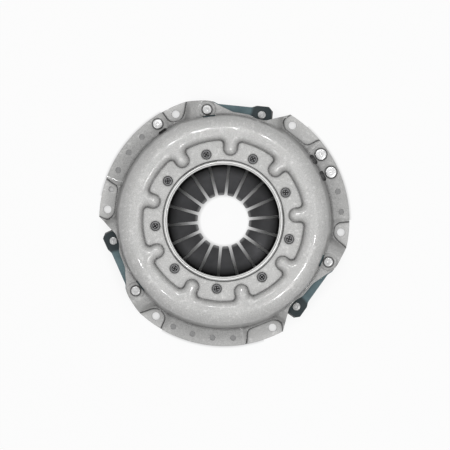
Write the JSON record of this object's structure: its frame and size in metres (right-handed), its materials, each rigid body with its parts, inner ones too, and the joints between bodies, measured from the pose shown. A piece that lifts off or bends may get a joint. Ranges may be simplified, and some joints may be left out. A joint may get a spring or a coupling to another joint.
{
  "type": "clutch pressure plate",
  "caption": "Diaphragm-spring clutch cover: pressed flanged cover with lobed centre ring, slotted spring fingers, drive straps and a sliding pressure plate.",
  "frame": {"origin": "centre of the bolt circle, on the flywheel face of the bolt pads", "axes": "+Z along the clutch axis towards the gearbox, +X through one bolt hole"},
  "size_m": [0.286, 0.2775, 0.044],
  "materials": {
    "cover_coat": "semi-gloss light grey coat on pressed sheet",
    "spring_steel": "dark tempered, satin",
    "dark_rivet": "dark phosphated, satin",
    "bright_rivet": "zinc plated, bright",
    "strap_steel": "blue tempered spring steel, satin",
    "plate_iron": "cast, ground friction face"
  },
  "bodies": {
    "cover": {"cover_shell": "cover_coat", "upper_pivot_ring": "spring_steel", "lower_pivot_ring": "spring_steel", "diaphragm_spring": "spring_steel", "pivot_rivet_1": "dark_rivet", "pivot_rivet_2": "dark_rivet", "pivot_rivet_3": "dark_rivet", "pivot_rivet_4": "dark_rivet", "pivot_rivet_5": "dark_rivet", "pivot_rivet_6": "dark_rivet", "pivot_rivet_7": "dark_rivet", "pivot_rivet_8": "dark_rivet", "pivot_rivet_9": "dark_rivet", "cover_strap_rivet_1": "bright_rivet", "cover_strap_rivet_2": "bright_rivet", "cover_strap_rivet_3": "bright_rivet", "balance_rivet_1": "bright_rivet", "balance_rivet_2": "bright_rivet", "balance_rivet_3": "bright_rivet", "strap_leaf_1a": "strap_steel", "strap_leaf_1b": "strap_steel", "strap_leaf_1c": "strap_steel", "strap_leaf_2a": "strap_steel", "strap_leaf_2b": "strap_steel", "strap_leaf_2c": "strap_steel", "strap_leaf_3a": "strap_steel", "strap_leaf_3b": "strap_steel", "strap_leaf_3c": "strap_steel"},
    "pressure_plate_body": {"pressure_plate": "plate_iron", "lug_rivet_1": "bright_rivet", "lug_rivet_2": "bright_rivet", "lug_rivet_3": "bright_rivet"}
  },
  "joints": [
    {"name": "plate_lift", "type": "slide", "parent": "cover", "child": "pressure_plate_body", "axis": [0, 0, 1], "range_m": [0, 0.0042], "stiffness_N_per_m": 100000, "deforming": ["diaphragm_spring", "strap_leaf_1a", "strap_leaf_1b", "strap_leaf_1c", "strap_leaf_2a", "strap_leaf_2b", "strap_leaf_2c", "strap_leaf_3a", "strap_leaf_3b", "strap_leaf_3c"]}
  ]
}
